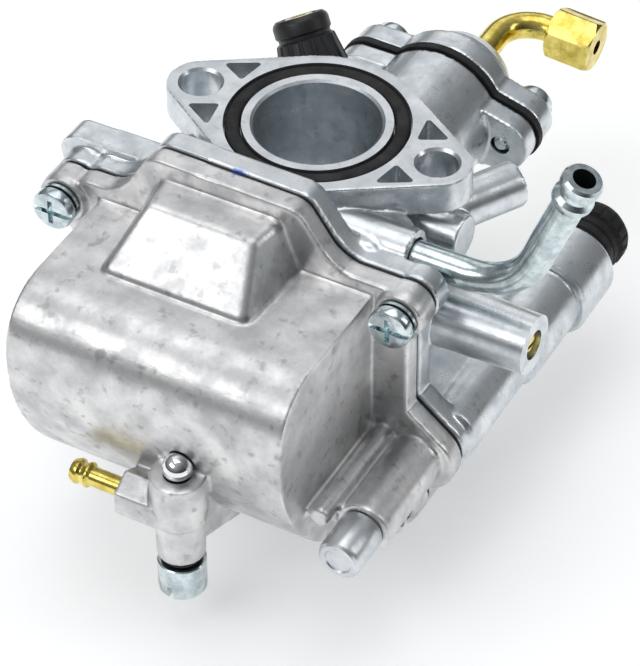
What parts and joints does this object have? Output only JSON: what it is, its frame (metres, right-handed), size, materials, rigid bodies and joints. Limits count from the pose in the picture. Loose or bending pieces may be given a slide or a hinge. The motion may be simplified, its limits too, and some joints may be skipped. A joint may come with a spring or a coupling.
{
  "type": "carburettor",
  "caption": "Small-engine slide carburettor with a float bowl, fuel inlet elbow, adjusting screws, cold-start valve and brass cable elbow.",
  "frame": {"origin": "under the middle of the bounding box, on the plane of the air intake rim", "axes": "+Z along the air passage towards the engine flange, +Y along the throttle slide towards the cable, +X towards the cold-start valve"},
  "size_m": [0.1038, 0.1526, 0.0892],
  "materials": {
    "cast_alloy": "die-cast",
    "bowl_alloy": "tumbled casting",
    "zinc_plate": "zinc plated",
    "brass": "machined",
    "steel": "drawn wire",
    "chrome": "polished",
    "rubber": "matt",
    "black_plastic": "moulded",
    "float_plastic": "moulded"
  },
  "bodies": {
    "carburettor_body": {"main_body": "cast_alloy", "float_bowl": "bowl_alloy", "throttle_cap": "cast_alloy", "fuel_inlet_elbow": "zinc_plate", "cable_elbow": "brass", "throttle_spring": "steel", "bowl_gasket": "rubber", "mixture_spring": "steel", "starter_cap": "black_plastic", "starter_spring": "steel", "flange_o_ring": "rubber", "cap_gasket": "rubber", "idle_spring": "steel", "float_needle_seat": "brass", "overflow_nipple": "brass", "starter_well_plug": "bowl_alloy", "drilling_ball": "chrome", "bowl_screw_upper_left": "zinc_plate", "bowl_screw_upper_right": "zinc_plate", "bowl_screw_lower_left": "zinc_plate", "bowl_screw_lower_right": "zinc_plate", "cap_screw_left": "zinc_plate", "cap_screw_right": "zinc_plate", "needle_jet": "brass", "lock_washer_upper_left": "zinc_plate", "lock_washer_upper_right": "zinc_plate", "lock_washer_lower_left": "zinc_plate", "lock_washer_lower_right": "zinc_plate", "cap_washer_left": "zinc_plate", "cap_washer_right": "zinc_plate", "pilot_jet": "brass", "drain_seal": "rubber", "float_pin": "steel", "main_jet": "brass"},
    "throttle": {"throttle_slide": "cast_alloy", "jet_needle": "brass", "needle_clip": "steel", "needle_retainer": "steel"},
    "idle_adjuster": {"idle_screw": "brass", "idle_knob": "black_plastic"},
    "mixture_adjuster": {"mixture_screw": "brass"},
    "starter_valve": {"starter_plunger": "brass"},
    "float_assembly": {"float": "float_plastic"},
    "float_valve": {"float_needle": "brass"},
    "drain": {"drain_screw": "zinc_plate"},
    "cable_adjuster": {"cable_adjuster_nut": "brass"}
  },
  "joints": [
    {"name": "throttle_lift", "type": "slide", "parent": "carburettor_body", "child": "throttle", "axis": [0, 1, 0], "range_m": [0, 0.019], "stiffness_N_per_m": 120, "springref_m": -0.03, "deforming": ["throttle_spring"]},
    {"name": "idle_turn", "type": "hinge", "parent": "carburettor_body", "child": "idle_adjuster", "pos_m": [-0.02925, 0.01815, 0.0647], "axis": [0.5065, -0.3307, -0.7963], "range_deg": [-720, 720]},
    {"name": "mixture_turn", "type": "hinge", "parent": "carburettor_body", "child": "mixture_adjuster", "pos_m": [0.04025, -0.02385, 0.0465], "axis": [-1, 0, 0], "range_deg": [-900, 540]},
    {"name": "starter_lift", "type": "slide", "parent": "carburettor_body", "child": "starter_valve", "axis": [0, 1, 0], "range_m": [0, 0.005], "stiffness_N_per_m": 150, "springref_m": -0.01, "deforming": ["starter_spring"]},
    {"name": "float_swing", "type": "hinge", "parent": "carburettor_body", "child": "float_assembly", "pos_m": [-0.01475, -0.03835, 0.0636], "axis": [1, 0, 0], "range_deg": [-8, 0]},
    {"name": "valve_lift", "type": "slide", "parent": "carburettor_body", "child": "float_valve", "axis": [0, 1, 0], "range_m": [-0.0008, 0]},
    {"name": "drain_turn", "type": "hinge", "parent": "carburettor_body", "child": "drain", "pos_m": [-0.00355, -0.07115, 0.015], "axis": [0, 0, -1], "range_deg": [0, 1440]},
    {"name": "cable_nut_turn", "type": "hinge", "parent": "carburettor_body", "child": "cable_adjuster", "pos_m": [-0.00975, 0.07065, 0.037], "axis": [0.997, 0, -0.078], "range_deg": [-1080, 1080]}
  ],
  "couplings": [
    {"joint": "valve_lift", "follows": "float_swing", "m_per_rad": 0.0051}
  ]
}
